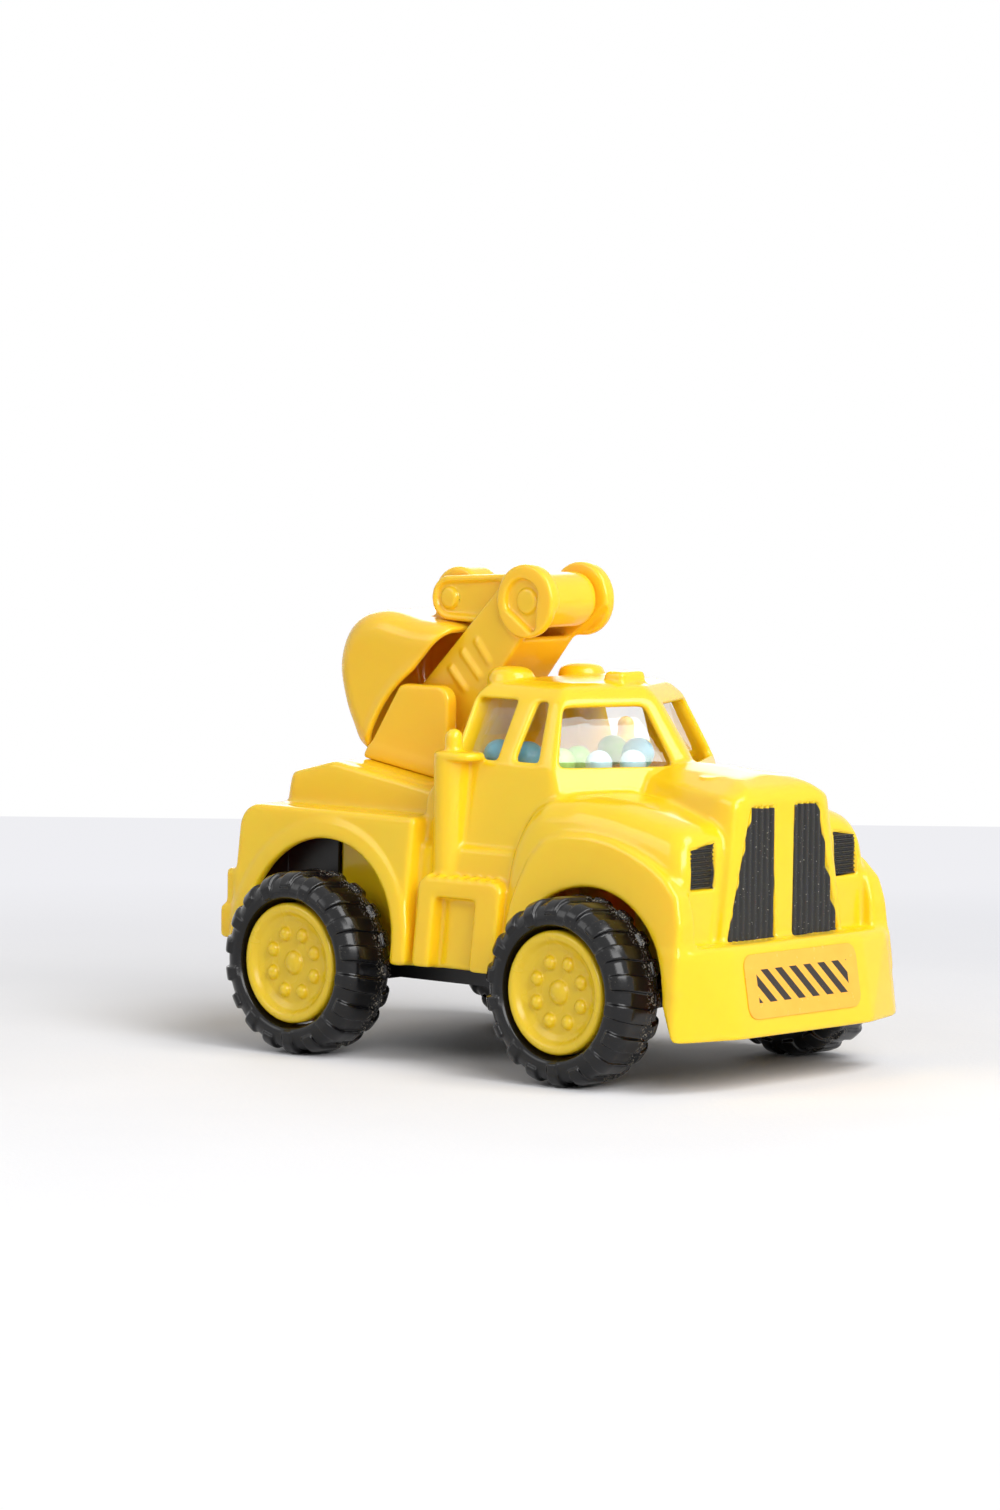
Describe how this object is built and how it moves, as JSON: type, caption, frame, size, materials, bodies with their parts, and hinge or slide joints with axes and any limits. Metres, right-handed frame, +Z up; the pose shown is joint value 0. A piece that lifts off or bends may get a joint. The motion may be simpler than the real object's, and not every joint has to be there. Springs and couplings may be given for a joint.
{
  "type": "toy digger truck",
  "caption": "Moulded toy truck with rolling wheels, a cab that shows the sweets inside, and a folded digger arm with a bucket behind the cab.",
  "frame": {"origin": "on the ground under the middle of the truck's length and width", "axes": "+X towards the front bumper, +Y to the truck's left, +Z up"},
  "size_m": [0.1222, 0.0788, 0.094],
  "materials": {
    "body_yellow": "glossy injection-moulded yellow",
    "arm_yellow": "glossy injection-moulded warm yellow",
    "hub_yellow": "satin moulded greenish yellow",
    "tyre_black": "glossy moulded black",
    "chassis_black": "satin moulded black",
    "clear_window": "clear moulded plastic",
    "label_paper": "plain printed film label",
    "bright_steel": "plain steel wire and screws",
    "sweet_blue": "smooth sugar shell",
    "sweet_green": "smooth sugar shell",
    "sweet_pale": "smooth sugar shell"
  },
  "bodies": {
    "truck": {"body_shell": "body_yellow", "cab_glazing": "clear_window", "sweet_tray": "body_yellow", "chassis": "chassis_black", "filler_plug": "chassis_black", "front_label": "label_paper", "arm_bracket": "arm_yellow", "boom": "arm_yellow", "sweet_blue_rear": "sweet_blue", "sweet_blue_middle": "sweet_blue", "sweet_green": "sweet_green", "sweet_pale_front": "sweet_pale", "sweet_pale_middle": "sweet_pale", "sweet_green_middle": "sweet_green", "sweet_blue_left": "sweet_blue", "sweet_green_left": "sweet_green", "chassis_screw_1": "bright_steel", "chassis_screw_2": "bright_steel", "chassis_screw_3": "bright_steel", "chassis_screw_4": "bright_steel"},
    "stick": {"stick": "arm_yellow"},
    "bucket": {"bucket": "arm_yellow"},
    "rear_wheels": {"rear_axle": "bright_steel", "rear_right_tyre": "tyre_black", "rear_right_hub": "hub_yellow", "rear_left_tyre": "tyre_black", "rear_left_hub": "hub_yellow"},
    "front_wheels": {"front_axle": "bright_steel", "front_right_tyre": "tyre_black", "front_right_hub": "hub_yellow", "front_left_tyre": "tyre_black", "front_left_hub": "hub_yellow"}
  },
  "joints": [
    {"name": "stick_swing", "type": "hinge", "parent": "truck", "child": "stick", "pos_m": [-0.00225, 0, 0.0869], "axis": [0, 1, 0], "range_deg": [0, 165]},
    {"name": "bucket_tilt", "type": "hinge", "parent": "stick", "child": "bucket", "pos_m": [-0.02465, 0, 0.0865], "axis": [0, 1, 0], "range_deg": [0, 85]},
    {"name": "rear_axle_spin", "type": "hinge", "parent": "truck", "child": "rear_wheels", "pos_m": [-0.03525, 0, 0.017], "axis": [0, 1, 0], "continuous": true},
    {"name": "front_axle_spin", "type": "hinge", "parent": "truck", "child": "front_wheels", "pos_m": [0.03205, 0, 0.017], "axis": [0, 1, 0], "continuous": true}
  ]
}
